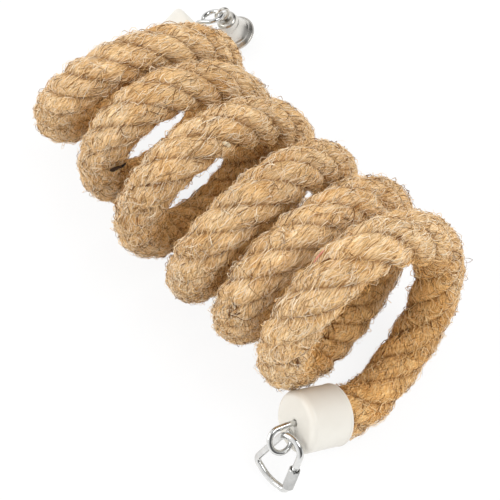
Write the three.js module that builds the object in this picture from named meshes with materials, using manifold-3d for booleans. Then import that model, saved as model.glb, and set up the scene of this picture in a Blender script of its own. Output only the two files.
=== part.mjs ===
// Spiral rope perch. A thick jute rope is wound into a slack spiral and held in shape by a
// bendable wire in its middle. A plastic cap closes each end, with a screw eye through its face.
// A quick link hangs on the near eye and a small bell on the far one.
// Millimetres, +Z up. The spiral lies along X on z = 0, with its near end at +X.
import * as THREE from 'three';
import { mergeVertices } from 'three/addons/utils/BufferGeometryUtils.js';
import Module from 'manifold-3d';

const wasm = await Module();
wasm.setup();

// Gap kept between pieces that seat on each other, and sides of each turned piece
const CLEARANCE = 0.3;
const LATHE_SIDES = 40;

// Rope and the wire in its middle
const ROPE_D = 25;
const ROPE_SIDES = 10;
const CORE_D = 4;
const CORE_SIDES = 6;
const FLAT_DEPTH = 2.5;

// Spiral, with the lean of each loop as it lies slack, counted from the near end
const TURNS = 6;
const PITCH = 36;
const LAST_TURN_EXTRA = 15;
const LOOP_HALF_HEIGHT = 43;
const FIRST_LOOP_RISE = 9;
const LOOP_HALF_WIDTH = [46, 48, 47, 49, 44, 47];
const LOOP_SHIFT = [3, 4, -1, -5, -4, 1];
const LOOP_LEAN = [-6, -2, 3, -4, -4, 10];
const LOOP_SKEW = [-1, -3, -7, -2, 5, 6];
const STEPS_PER_TURN = 24;

// Where the rope leaves the spiral, the run to the mouth of each cap, and the way the caps point:
// turned about Z from +Y, and tipped up by the spring of the rope
const LEAVE_TURN = 0.03;
const LEAD_BEND = 13;
const MOUTH_HEIGHT = 17.5;
const HANG_LEAD = { x: -1.3, y: -35 };
const BELL_LEAD = { x: -6.4, y: 47.3 };
const HANG_TURN = THREE.MathUtils.degToRad(162);
const BELL_TURN = THREE.MathUtils.degToRad(-1);
const CAP_TIP = THREE.MathUtils.degToRad(26.5);

// End caps
const CAP_D = 33;
const CAP_LENGTH = 26;
const CAP_FACE = 3;
const CAP_ROUND = 3.5;
const CAP_ROUND_STEPS = 6;
const CAP_LIP = 0.8;

// Screw eyes with their washers and nuts
const EYE_WIRE = 3;
const EYE_BORE = 9.6;
const EYE_SHANK = 2.2;
const EYE_NECK = 9.6;
const WASHER_D = 10;
const WASHER_T = 0.8;
const NUT_FLATS = 5.5;
const NUT_T = 2.2;
const SHANK_TIP = 0.8;
const ROPE_END_GAP = 0.5;

// How each eye is bent off the axis of its cap: to the side, down, and rolled about its neck
const HANG_EYE = { aside: 43.5, droop: 32.5, roll: -20 };
const BELL_EYE = { aside: -17, droop: 18, roll: -28 };

// Quick link, a pear of wire with a gap under its sleeve nut
const LINK_WIRE = 3.6;
const LINK_ARCH_R = 7.4;
const LINK_LENGTH = 23.5;
const LINK_HALF_BASE = 11;
const LINK_CORNER_R = 3.5;
const LINK_BOW = 1.5;
const LINK_GAP = 3.5;
const SLEEVE_LENGTH = 13;
const SLEEVE_FLATS = 5.6;
const SLEEVE_GRIP = 2.5;
const LINK_SEAT = { across: -1.75, down: 1.5, away: 1.25 };
const LINK_YAW = THREE.MathUtils.degToRad(2);
const LINK_DIP = THREE.MathUtils.degToRad(60);

// Bell, its crown loop and clapper
const BELL_MOUTH_D = 26;
const BELL_HEIGHT = 20;
const BELL_CROWN_D = 13;
const BELL_WALL = 1;
const BELL_TAPER = 0.3;
const LOOP_R = 4.5;
const LOOP_WIRE = 2;
const LOOP_SLACK = 1.5;
const HOOK_R = 1.8;
const HOOK_WIRE = 1.2;
const CLAPPER_RING_R = 1.5;
const CLAPPER_WIRE = 1;
const CLAPPER_LENGTH = 10.4;
const CLAPPER_BALL_R = 3;
const BELL_YAW = THREE.MathUtils.degToRad(78);
const BELL_DIP = THREE.MathUtils.degToRad(66.5);

const JUTE = { color: 0xc8a069, roughness: 0.95, metalness: 0 };
const IVORY = { color: 0xe8e4da, roughness: 0.45, metalness: 0 };
const ZINC = { color: 0xc9ccce, roughness: 0.25, metalness: 1 };
const STEEL = { color: 0x8c8f93, roughness: 0.4, metalness: 1 };

const at = (x, y, z) => new THREE.Vector3(x, y, z);
const ACROSS_X = at(1, 0, 0);
const UP_Y = at(0, 1, 0);
const UP_Z = at(0, 0, 1);

// A closed mesh as a solid that can be joined and cut
function solid(geometry) {
  const bare = geometry.index ? geometry.toNonIndexed() : geometry.clone();
  bare.deleteAttribute('normal');
  bare.deleteAttribute('uv');
  const merged = mergeVertices(bare, 1e-4);
  return new wasm.Manifold(new wasm.Mesh({
    numProp: 3,
    vertProperties: new Float32Array(merged.attributes.position.array),
    triVerts: new Uint32Array(merged.index.array),
  }));
}

function geometryOf(body) {
  const mesh = body.getMesh();
  const geometry = new THREE.BufferGeometry();
  geometry.setAttribute('position', new THREE.BufferAttribute(new Float32Array(mesh.vertProperties), 3));
  geometry.setIndex(new THREE.BufferAttribute(new Uint32Array(mesh.triVerts), 1));
  geometry.computeVertexNormals();
  return geometry;
}

const join = (...parts) => geometryOf(parts.map(solid).reduce((sum, part) => sum.add(part)));
const cut = (base, tool) => geometryOf(solid(base).subtract(solid(tool)));

function piece(name, geometry, look) {
  const mesh = new THREE.Mesh(geometry, new THREE.MeshStandardMaterial(look));
  mesh.name = name;
  return mesh;
}

// Corners of a regular polygon
function polygon(radius, sides) {
  const corner = (i) => new THREE.Vector2(
    radius * Math.cos((2 * Math.PI * i) / sides),
    radius * Math.sin((2 * Math.PI * i) / sides),
  );
  return Array.from({ length: sides }, (_, i) => corner(i));
}

// A regular polygon to sweep, with a hole in it if one is given
function section(radius, sides, holeRadius = 0, holeSides = sides) {
  const shape = new THREE.Shape(polygon(radius, sides));
  if (holeRadius > 0) shape.holes.push(new THREE.Path(polygon(holeRadius, holeSides)));
  return shape;
}

const sweep = (shape, path, steps) => new THREE.ExtrudeGeometry(shape, { steps, extrudePath: path });

// A straight round bar between two points
function bar(from, to, radius, sides = 16) {
  const along = to.clone().sub(from);
  const geometry = new THREE.CylinderGeometry(radius, radius, along.length(), sides);
  geometry.applyQuaternion(new THREE.Quaternion().setFromUnitVectors(UP_Y, along.clone().normalize()));
  return geometry.translate(...from.clone().add(to).multiplyScalar(0.5).toArray());
}

// A ring of wire about a point, lying square to its normal
function ring(centre, normal, radius, wireRadius, around = 32, sides = 10) {
  const geometry = new THREE.TorusGeometry(radius, wireRadius, sides, around);
  geometry.applyQuaternion(new THREE.Quaternion().setFromUnitVectors(UP_Z, normal));
  return geometry.translate(...centre.toArray());
}

// Value of a per-loop list at a count of turns, easing from the top of one loop to the next
function perLoop(list, turns) {
  const place = THREE.MathUtils.clamp(turns - 0.5, 0, list.length - 1);
  const first = Math.min(Math.floor(place), list.length - 2);
  const ease = THREE.MathUtils.smoothstep(place - first, 0, 1);
  return THREE.MathUtils.lerp(list[first], list[first + 1], ease);
}

// Middle of the rope after a count of turns from the near end, where it lies on the floor
function spiral(turns) {
  const angle = 2 * Math.PI * turns;
  const firstLoop = Math.max(0, 1 - Math.abs(turns - 0.5));
  const halfHeight = LOOP_HALF_HEIGHT + FIRST_LOOP_RISE * firstLoop;
  const lastTurn = THREE.MathUtils.clamp(turns - (TURNS - 1), 0, 1);
  const along = PITCH * (TURNS / 2 - turns) - LAST_TURN_EXTRA * lastTurn;
  return at(
    along - perLoop(LOOP_LEAN, turns) * Math.cos(angle) + perLoop(LOOP_SKEW, turns) * Math.sin(angle),
    perLoop(LOOP_SHIFT, turns) + perLoop(LOOP_HALF_WIDTH, turns) * Math.sin(angle),
    ROPE_D / 2 - FLAT_DEPTH + halfHeight * (1 - Math.cos(angle)),
  );
}

// Unit vector turned about Z from +X and tipped up
function tipped(yaw, tip) {
  const level = Math.cos(tip);
  return at(Math.cos(yaw) * level, Math.sin(yaw) * level, Math.sin(tip));
}

// An end of the rope: the mouth of its cap, the way the cap points, and the run between the two
const stack = CAP_FACE + WASHER_T + NUT_T + SHANK_TIP + ROPE_END_GAP + 2 * CLEARANCE;
const ropeInCap = CAP_LENGTH - stack;

function ropeEnd(turn, lead, floorTurns, leaveTurns) {
  const floor = spiral(floorTurns);
  const point = tipped(turn + Math.PI / 2, CAP_TIP);
  const mouth = at(floor.x + lead.x, floor.y + lead.y, MOUTH_HEIGHT);
  const straight = mouth.clone().addScaledVector(point, ropeInCap - ROPE_D);
  const leave = spiral(leaveTurns);
  const outward = Math.sign(floorTurns - leaveTurns);
  const heading = spiral(leaveTurns + 1e-4 * outward).sub(leave).normalize();
  const bend = new THREE.CubicBezierCurve3(
    leave,
    leave.clone().addScaledVector(heading, LEAD_BEND),
    straight.clone().addScaledVector(point, -LEAD_BEND),
    straight,
  );
  const tip = mouth.clone().addScaledVector(point, ropeInCap);
  const face = mouth.clone().addScaledVector(point, CAP_LENGTH);
  return { turn, point, mouth, face, bend, straight, tip };
}

const hang = ropeEnd(HANG_TURN, HANG_LEAD, 0, LEAVE_TURN);
const far = ropeEnd(BELL_TURN, BELL_LEAD, TURNS, TURNS - LEAVE_TURN);

// Middle of the whole rope, from its tip in the near cap to its tip in the far one
class RopeLine extends THREE.Curve {
  constructor() {
    super();
    this.arcLengthDivisions = 2400;
  }

  getPoint(t) {
    const reach = THREE.MathUtils.lerp(-1, TURNS + 1, t);
    if (reach < 0) return RopeLine.end(hang, -reach);
    if (reach > TURNS) return RopeLine.end(far, reach - TURNS);
    return spiral(THREE.MathUtils.mapLinear(reach, 0, TURNS, LEAVE_TURN, TURNS - LEAVE_TURN));
  }

  static end(side, share) {
    if (share < 0.5) return side.bend.getPoint(2 * share);
    return side.straight.clone().lerp(side.tip, 2 * share - 1);
  }
}

const ropeLine = new RopeLine();
const turnLength = 2 * Math.PI * LOOP_HALF_WIDTH[0];
const ropeLength = ropeLine.getLength();
const ropeSteps = Math.round((STEPS_PER_TURN * ropeLength) / turnLength);

// Least gap of the rope to itself, measured on points of its middle
function leastGap() {
  const points = ropeLine.getSpacedPoints(4 * ropeSteps);
  const spacing = ropeLength / (points.length - 1);
  const apart = Math.ceil((2 * ROPE_D) / spacing);
  let least = Infinity;
  for (let i = 0; i < points.length; i += 1) {
    for (let j = i + apart; j < points.length; j += 1) {
      least = Math.min(least, points[i].distanceTo(points[j]));
    }
  }
  return least - ROPE_D;
}
console.log(`rope ${ropeLength.toFixed(0)} mm, least gap to itself ${leastGap().toFixed(2)} mm`);

// Rope, cut flat where its loops lie on the floor, and the wire inside it
function rope() {
  const bore = CORE_D / 2 + CLEARANCE / Math.cos(Math.PI / CORE_SIDES);
  const tube = sweep(section(ROPE_D / 2, ROPE_SIDES, bore, CORE_SIDES), ropeLine, ropeSteps);
  const reach = 4 * PITCH * TURNS;
  const floor = new THREE.BoxGeometry(reach, reach, ROPE_D).translate(0, 0, -ROPE_D / 2);
  return cut(tube, floor);
}
const coreWire = () => sweep(section(CORE_D / 2, CORE_SIDES), ropeLine, ropeSteps);

// Cap about +Y, with its mouth at 0 and a hole for the eye in its face
function cap() {
  const outer = CAP_D / 2;
  const bore = ROPE_D / 2 + CLEARANCE;
  const hole = EYE_WIRE / 2 + CLEARANCE;
  const floor = CAP_LENGTH - CAP_FACE;
  const rounded = Array.from({ length: CAP_ROUND_STEPS + 1 }, (_, i) => {
    const angle = ((Math.PI / 2) * i) / CAP_ROUND_STEPS;
    return new THREE.Vector2(
      outer - CAP_ROUND + CAP_ROUND * Math.cos(angle),
      CAP_LENGTH - CAP_ROUND + CAP_ROUND * Math.sin(angle),
    );
  });
  const profile = [
    new THREE.Vector2(bore, floor),
    new THREE.Vector2(bore, CAP_LIP),
    new THREE.Vector2(bore + CAP_LIP, 0),
    new THREE.Vector2(outer - CAP_LIP, 0),
    new THREE.Vector2(outer, CAP_LIP),
    ...rounded,
    new THREE.Vector2(hole, CAP_LENGTH),
    new THREE.Vector2(hole, floor),
    new THREE.Vector2(bore, floor),
  ];
  return new THREE.LatheGeometry(profile, LATHE_SIDES);
}

// Ring of a screw eye in its cap's axes: where it stands, the way its neck points and its normal
const eyeRingR = (EYE_BORE + EYE_WIRE) / 2;

function eyeRing({ aside, droop, roll }) {
  const { degToRad } = THREE.MathUtils;
  const neck = tipped(degToRad(aside) + Math.PI / 2, degToRad(-droop));
  const across = neck.clone().cross(UP_Z).normalize();
  const normal = across.clone().cross(neck).applyAxisAngle(neck, degToRad(roll));
  const elbow = at(0, CAP_LENGTH + EYE_SHANK, 0);
  const centre = elbow.clone().addScaledVector(neck, EYE_NECK);
  return { elbow, neck, normal, centre };
}

function screwEye({ elbow, neck, normal, centre }) {
  const inside = at(0, CAP_LENGTH - stack + ROPE_END_GAP, 0);
  const wire = EYE_WIRE / 2;
  const foot = centre.clone().addScaledVector(neck, -eyeRingR);
  return join(
    bar(inside, elbow, wire),
    new THREE.SphereGeometry(wire, 16, 12).translate(...elbow.toArray()),
    bar(elbow, foot, wire),
    ring(centre, normal, eyeRingR, wire),
  );
}

// Washer and nut on the shank of the eye, inside the cap
const washerPlace = CAP_LENGTH - CAP_FACE - CLEARANCE - WASHER_T;
const nutPlace = washerPlace - CLEARANCE - NUT_T;

function onShank(outline, thickness, place) {
  outline.holes.push(new THREE.Path(polygon(EYE_WIRE / 2 + CLEARANCE, 16)));
  const geometry = new THREE.ExtrudeGeometry(outline, { depth: thickness, bevelEnabled: false });
  return geometry.rotateX(-Math.PI / 2).translate(0, place, 0);
}
const hexagon = (flats) => section(flats / 2 / Math.cos(Math.PI / 6), 6);
const washer = () => onShank(section(WASHER_D / 2, 24), WASHER_T, washerPlace);
const nut = () => onShank(hexagon(NUT_FLATS), NUT_T, nutPlace);

// One end of the perch: cap, eye, washer and nut
function endFitting(prefix, side, eye) {
  const group = new THREE.Group();
  group.position.copy(side.mouth);
  group.rotation.set(CAP_TIP, 0, side.turn, 'ZYX');
  group.add(
    piece(`${prefix}_cap`, cap(), IVORY),
    piece(`${prefix}_eye`, screwEye(eye), ZINC),
    piece(`${prefix}_washer`, washer(), STEEL),
    piece(`${prefix}_nut`, nut(), STEEL),
  );
  group.updateMatrixWorld(true);
  return group;
}

// Quick link in its own plane: arch about the origin, base towards +Y, sleeve on the +X leg
const armAngle = (() => {
  const over = LINK_HALF_BASE - LINK_CORNER_R;
  const down = LINK_LENGTH - LINK_CORNER_R;
  const lean = Math.asin((LINK_CORNER_R - LINK_ARCH_R) / Math.hypot(over, down));
  return Math.atan2(down, over) - Math.PI / 2 - lean;
})();
const legNormal = new THREE.Vector2(Math.cos(armAngle), Math.sin(armAngle));
const legTop = legNormal.clone().multiplyScalar(LINK_ARCH_R);
const cornerCentre = new THREE.Vector2(LINK_HALF_BASE - LINK_CORNER_R, LINK_LENGTH - LINK_CORNER_R);
const legFoot = cornerCentre.clone().addScaledVector(legNormal, LINK_CORNER_R);
const legUp = legTop.clone().sub(legFoot).normalize();
const sleeveFoot = legFoot.clone().addScaledVector(legUp, CLEARANCE);

function quickLink() {
  const gapFoot = sleeveFoot.clone().addScaledVector(legUp, SLEEVE_GRIP);
  const gapTop = gapFoot.clone().addScaledVector(legUp, LINK_GAP);
  const path = new THREE.Path();
  path.moveTo(gapTop.x, gapTop.y);
  path.lineTo(legTop.x, legTop.y);
  path.absarc(0, 0, LINK_ARCH_R, armAngle, -Math.PI - armAngle, true);
  path.lineTo(-legFoot.x, legFoot.y);
  path.absarc(-cornerCentre.x, cornerCentre.y, LINK_CORNER_R, Math.PI - armAngle, Math.PI / 2, true);
  path.quadraticCurveTo(0, LINK_LENGTH + 2 * LINK_BOW, cornerCentre.x, LINK_LENGTH);
  path.absarc(cornerCentre.x, cornerCentre.y, LINK_CORNER_R, Math.PI / 2, armAngle, true);
  path.lineTo(gapFoot.x, gapFoot.y);
  const steps = 72;
  const points = path.getSpacedPoints(steps).map((p) => at(p.x, p.y, 0));
  const line = new THREE.CatmullRomCurve3(points);
  return sweep(section(LINK_WIRE / 2, 12), line, steps);
}

// Sleeve nut over the gap, threaded up the leg to open the link
function sleeveNut() {
  const outline = hexagon(SLEEVE_FLATS);
  outline.holes.push(new THREE.Path(polygon(LINK_WIRE / 2 + CLEARANCE, 16)));
  const geometry = new THREE.ExtrudeGeometry(outline, { depth: SLEEVE_LENGTH, bevelEnabled: false });
  const along = at(legUp.x, legUp.y, 0);
  geometry.applyQuaternion(new THREE.Quaternion().setFromUnitVectors(UP_Z, along));
  return geometry.translate(sleeveFoot.x, sleeveFoot.y, 0);
}

// The link's left shoulder passes through the near eye, and its base lies on the floor
function linkGroup(eyeCentre) {
  const down = tipped(LINK_YAW - Math.PI / 2, -LINK_DIP);
  const across = down.clone().cross(UP_Z).negate().normalize();
  const away = across.clone().cross(down);
  const group = new THREE.Group();
  group.quaternion.setFromRotationMatrix(new THREE.Matrix4().makeBasis(across, down, away));
  group.position.copy(eyeCentre)
    .addScaledVector(across, LINK_ARCH_R + LINK_SEAT.across)
    .addScaledVector(down, LINK_SEAT.down)
    .addScaledVector(away, LINK_SEAT.away);
  group.add(piece('quick_link', quickLink(), ZINC), piece('link_sleeve', sleeveNut(), ZINC));
  return group;
}

// Bell about +Y, with the top of its crown at 0 and its mouth at its height
function bellShell() {
  const crown = BELL_CROWN_D / 2;
  const mouth = BELL_MOUTH_D / 2;
  const hole = LOOP_WIRE / 2 + CLEARANCE;
  const flare = (share) => crown + (mouth - crown) * THREE.MathUtils.lerp(share ** 3, share, BELL_TAPER);
  const shares = [0.12, 0.3, 0.45, 0.6, 0.75, 0.88, 1];
  const wall = (thickness) => shares.map(
    (share) => new THREE.Vector2(flare(share) - thickness, share * BELL_HEIGHT),
  );
  const outside = wall(0);
  const inside = wall(BELL_WALL);
  inside[0].y += BELL_WALL;
  const profile = [
    new THREE.Vector2(hole, BELL_WALL),
    new THREE.Vector2(hole, 0),
    new THREE.Vector2(crown - BELL_WALL, 0),
    ...outside,
    ...inside.reverse(),
    new THREE.Vector2(crown - 2 * BELL_WALL, BELL_WALL),
    new THREE.Vector2(hole, BELL_WALL),
  ];
  return new THREE.LatheGeometry(profile, LATHE_SIDES);
}

// Wire loop on the crown, its stem through the crown and the hook that carries the clapper
const loopCentre = -(LOOP_R + LOOP_WIRE / 2 + CLEARANCE);
const hookCentre = BELL_WALL + CLEARANCE + HOOK_R + HOOK_WIRE / 2;
const hookFoot = hookCentre + HOOK_R;

function crownLoop() {
  const top = at(0, loopCentre + LOOP_R, 0);
  const low = at(0, hookCentre - HOOK_R, 0);
  return join(
    ring(at(0, loopCentre, 0), ACROSS_X, LOOP_R, LOOP_WIRE / 2),
    bar(top, low, LOOP_WIRE / 2),
    ring(at(0, hookCentre, 0), ACROSS_X, HOOK_R, HOOK_WIRE / 2, 24, 8),
  );
}

function clapper() {
  const wire = CLAPPER_WIRE / 2;
  const foot = hookFoot + CLAPPER_LENGTH;
  return join(
    ring(at(0, hookFoot, 0), UP_Z, CLAPPER_RING_R, wire, 24, 8),
    bar(at(0, hookFoot + CLAPPER_RING_R, 0), at(0, foot, 0), wire, 12),
    new THREE.SphereGeometry(CLAPPER_BALL_R, 20, 14).translate(0, foot, 0),
  );
}

// The crown loop goes round the outer end of the far eye, and the bell leans with its rim on the floor
function bellGroup(eyeEnd) {
  const out = tipped(BELL_YAW, -BELL_DIP);
  const aside = UP_Z.clone().cross(out).normalize();
  const group = new THREE.Group();
  const away = aside.clone().cross(out);
  group.quaternion.setFromRotationMatrix(new THREE.Matrix4().makeBasis(aside, out, away));
  group.position.copy(eyeEnd).addScaledVector(out, LOOP_SLACK - loopCentre);
  group.add(
    piece('bell_shell', bellShell(), ZINC),
    piece('bell_loop', crownLoop(), ZINC),
    piece('clapper', clapper(), STEEL),
  );
  return group;
}

const perch = new THREE.Group();
perch.add(piece('rope', rope(), JUTE), piece('core_wire', coreWire(), STEEL));

const hangEye = eyeRing(HANG_EYE);
const hangEnd = endFitting('hang', hang, hangEye);
const linkEye = hangEnd.localToWorld(hangEye.centre.clone());

const bellEye = eyeRing(BELL_EYE);
const bellEnd = endFitting('bell', far, bellEye);
const bellSeat = bellEnd.localToWorld(bellEye.centre.clone().addScaledVector(bellEye.neck, eyeRingR));

perch.add(hangEnd, bellEnd, linkGroup(linkEye), bellGroup(bellSeat));

export default perch;
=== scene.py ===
"""Spiral rope perch: laid jute rope with loose fibres, moulded caps, wire fittings and a small bell."""
import math

import bpy
import numpy as np
from mathutils import Matrix, Vector


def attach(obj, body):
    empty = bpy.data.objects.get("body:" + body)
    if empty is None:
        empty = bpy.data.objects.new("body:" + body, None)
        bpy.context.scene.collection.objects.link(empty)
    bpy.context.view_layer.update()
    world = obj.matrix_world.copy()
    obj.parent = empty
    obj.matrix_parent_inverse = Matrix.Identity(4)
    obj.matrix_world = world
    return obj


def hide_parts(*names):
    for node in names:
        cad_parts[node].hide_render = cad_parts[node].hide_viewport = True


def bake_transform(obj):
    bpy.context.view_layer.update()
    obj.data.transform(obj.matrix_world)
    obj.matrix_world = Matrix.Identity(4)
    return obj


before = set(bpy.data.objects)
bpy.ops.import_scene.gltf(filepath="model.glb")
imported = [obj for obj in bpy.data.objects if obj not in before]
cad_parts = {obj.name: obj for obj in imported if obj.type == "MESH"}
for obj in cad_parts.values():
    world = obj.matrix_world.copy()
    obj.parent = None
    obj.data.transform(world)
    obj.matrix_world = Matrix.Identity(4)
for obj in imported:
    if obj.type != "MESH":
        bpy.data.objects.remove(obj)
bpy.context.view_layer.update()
rng = np.random.default_rng(11)

# Lengths below are millimetres in the frame of the solids
MM = 0.001
CLEARANCE = 0.3

# Rope and its spiral, as in the solids
ROPE_D = 25.0
ROPE_R = ROPE_D / 2
CORE_D = 4.0
FLAT_DEPTH = 2.5
TURNS = 6
PITCH = 36.0
LAST_TURN_EXTRA = 15.0
LOOP_HALF_HEIGHT = 43.0
FIRST_LOOP_RISE = 9.0
LOOP_HALF_WIDTH = [46, 48, 47, 49, 44, 47]
LOOP_SHIFT = [3, 4, -1, -5, -4, 1]
LOOP_LEAN = [-6, -2, 3, -4, -4, 10]
LOOP_SKEW = [-1, -3, -7, -2, 5, 6]
LEAVE_TURN = 0.03
LEAD_BEND = 13.0
MOUTH_HEIGHT = 17.5
HANG_LEAD = (-1.3, -35.0)
BELL_LEAD = (-6.4, 47.3)
HANG_TURN = math.radians(162)
BELL_TURN = math.radians(-1)
CAP_TIP = math.radians(26.5)

# Caps and eyes
CAP_D = 33.0
CAP_LENGTH = 26.0
CAP_FACE = 3.0
CAP_ROUND = 3.5
CAP_LIP = 0.8
CAP_BEAD = 0.25
CAP_BEAD_TOP = 1.9
CAP_BEAD_FADE = 0.5
CAP_FOOT = 3.0
CAP_DISH = 0.25
CAP_HOLE_EDGE = 0.4
CAP_HOLE_DROP = 0.6
CAP_BORE_EDGE = (0.3, 0.25)
CAP_SIDES = 96
EYE_WIRE = 3.0
EYE_BORE = 9.6
EYE_SHANK = 2.2
EYE_NECK = 9.6
EYE_BEND = 1.6
EYE_RING_R = (EYE_BORE + EYE_WIRE) / 2
EYE_JOIN = 0.95
EYE_CUT = 0.12
EYE_RING_POINTS = 60
EYE_SOFTEN = 3
WIRE_SIDES = 20
FITTING_STACK = 7.9
ROPE_END_GAP = 0.5
ROPE_IN_CAP = CAP_LENGTH - FITTING_STACK
HANG_EYE = {"aside": 43.5, "droop": 32.5, "roll": -20}
BELL_EYE = {"aside": -17, "droop": 18, "roll": -28}

# Quick link
LINK_WIRE = 3.6
LINK_ARCH_R = 7.4
LINK_LENGTH = 23.5
LINK_HALF_BASE = 11.0
LINK_CORNER_R = 3.5
LINK_BOW = 1.5
LINK_GAP = 3.5
SLEEVE_LENGTH = 13.0
SLEEVE_FLATS = 5.6
SLEEVE_GRIP = 2.5
SLEEVE_ROWS = (0.0, 0.12, 0.3, 0.55, 0.9)
SLEEVE_TURNED = 0.2
SLEEVE_TURNED_SLOPE = 0.9
SLEEVE_FLARE = 0.25
SLEEVE_FLARE_DEPTH = 0.3
SLEEVE_SIDES = 96
THREAD_PITCH = 0.7
THREAD_DEPTH = 0.16
THREAD_RUN = 9.5
THREAD_FADE = 1.0
THREAD_STEP = 0.12
THREAD_CHAMFER = 0.45
PLAIN_WIRE_EVERY = 5
LINK_SEAT = (-1.75, 1.5, 1.25)
LINK_YAW = math.radians(2)
LINK_DIP = math.radians(60)

# Bell
BELL_MOUTH_D = 26.0
BELL_HEIGHT = 20.0
BELL_CROWN_D = 13.0
BELL_WALL = 1.0
BELL_TAPER = 0.3
BELL_FLARE_SPAN = (0.14, 0.955)
BELL_BEADS = ((0.32, 0.30, 0.022), (0.22, 0.78, 0.02))
BELL_SHOULDER_IN = 2.0
BELL_SHOULDER_R = 2.4
BELL_RIM_R = 0.75
BELL_SIDES = 96
LOOP_R = 4.5
LOOP_WIRE = 2.0
LOOP_SLACK = 1.5
HOOK_R = 1.8
HOOK_WIRE = 1.2
STEM_OVERLAP = 0.2
STEM_STEP = 0.6
COLLAR_SWELL = 0.25
COLLAR_AT = -0.5
COLLAR_HALF = 0.8
COLLAR_FOOT = -0.3
LOOP_SIDES = 18
THIN_SIDES = 12
CLAPPER_RING_R = 1.5
CLAPPER_WIRE = 1.0
CLAPPER_LENGTH = 10.4
CLAPPER_BALL_R = 3.0
BELL_YAW = math.radians(78)
BELL_DIP = math.radians(66.5)

# Look of the laid rope: strands, the length of one turn of them, and their yarns
STRANDS = 4
SECTOR = 2 * math.pi / STRANDS
LAY = 64.0
NEAR_LAY = 88.0
NEAR_LAY_RUN = (110.0, 230.0)
STRAND_COLUMNS = 32
RING_STEP = 1.27
LOBE_CENTRE = 0.39 * ROPE_R
LOBE_R = 0.61 * ROPE_R
YARN_W = 1.8
YARN_RISE = 0.34
YARN_TILT = math.radians(-12)
YARN_PROUD_RANGE = (0.25, 1.0)
YARN_NUMBERS = 4096
SQUEEZE_IN_CAP = 0.05
MOUTH_SWELL = 0.09
MOUTH_SWELL_AT = 6.0
MOUTH_SWELL_END = 30.0
MOUTH_EASE = 3.0
STRAND_STEP = 17.3
FLOOR_SOFT = 0.9

# Worn tips of the loops: how far to the front they begin and are full, and how round the rope is there
WORN_FROM = 42.0
WORN_FULL = 58.0
WORN_PAST_LEAD = 80.0
WORN_ROUND = 0.4
WORN_R = 0.97 * ROPE_R

# How squarely a surface faces the middle of the spiral where its painted warm shade begins and is full
FACING_FROM = -0.25
FACING_TO = 0.65

# Loose fibres in lots, their shades and rise over the strands; felted ones are kept on worn tips only
FIBRE_LOTS = 2
LAID_FIBRES = 6750
BENT_FIBRES = 6750
MATTED_FIBRES = 6750
FELTED_TRIED = 22000
STRAY_FIBRES = 4000
FIBRE_POINTS = 5
FIBRE_SIDES = 3
FIBRE_FROM_CAP = 1.5
DARK_FIBRES = 0.23
DARK_STRAYS = 0.06
DARK_HAIR = (0.0, 0.12)
LIGHT_HAIR = (0.18, 1.0)
# Painted shade on fibres: darker where they face the middle of the spiral and where they lie in the grooves
INSIDE_PAINTED_SHADE = 0.08
GROOVE_PAINTED_SHADE = 0.2
LAID_FOOT = 0.12
LAID_RISE = (1.5, 0.42)
MATTED_FOOT = 0.15
MATTED_RISE = (1.6, 0.47)
MATTED_PEAK = 0.8
STRAY_FOOT = 0.1
STRAY_RISE = (1.5, 0.75)
STRAY_RISE_MOST = 4.0
STRAY_SWEEP = (0.7, 1.6)

UP = np.array([0.0, 0.0, 1.0])
WHITE = (1.0, 1.0, 1.0)


def round_angles(count):
    """Angles evenly round a circle."""
    return np.linspace(0, 2 * np.pi, count, endpoint=False)


def unit(v):
    return v / np.linalg.norm(v, axis=-1, keepdims=True)


def smoothstep(x):
    """Rises from 0 to 1, level at both ends."""
    x = np.clip(x, 0, 1)
    return x * x * (3 - 2 * x)


def tipped(yaw, tip):
    """Unit vector at a yaw from +X, tipped up from level."""
    level = math.cos(tip)
    return np.array([math.cos(yaw) * level, math.sin(yaw) * level, math.sin(tip)])


def turned(v, axis, angle):
    """v turned about a unit axis."""
    c = math.cos(angle)
    return v * c + np.cross(axis, v) * math.sin(angle) + axis * (axis @ v) * (1 - c)


# Middle line of the rope
LEAD_POINTS = 80
SPIRAL_POINTS = 2400
TURN_STEP = 1e-4


def per_loop(values, turns):
    """One value for each loop, eased from loop to loop."""
    values = np.asarray(values, float)
    place = np.clip(turns - 0.5, 0, len(values) - 1)
    first = np.minimum(np.floor(place).astype(int), len(values) - 2)
    return values[first] + (values[first + 1] - values[first]) * smoothstep(place - first)


def spiral(turns):
    """Points of the spiral after so many turns from the near end."""
    turns = np.asarray(turns, float)
    angle = 2 * np.pi * turns
    first_loop = np.maximum(0, 1 - np.abs(turns - 0.5))
    half_height = LOOP_HALF_HEIGHT + FIRST_LOOP_RISE * first_loop
    along = PITCH * (TURNS / 2 - turns) - LAST_TURN_EXTRA * np.clip(turns - (TURNS - 1), 0, 1)
    x = along - per_loop(LOOP_LEAN, turns) * np.cos(angle) + per_loop(LOOP_SKEW, turns) * np.sin(angle)
    y = per_loop(LOOP_SHIFT, turns) + per_loop(LOOP_HALF_WIDTH, turns) * np.sin(angle)
    z = ROPE_R - FLAT_DEPTH + half_height * (1 - np.cos(angle))
    return np.stack([x, y, z], -1)


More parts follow.
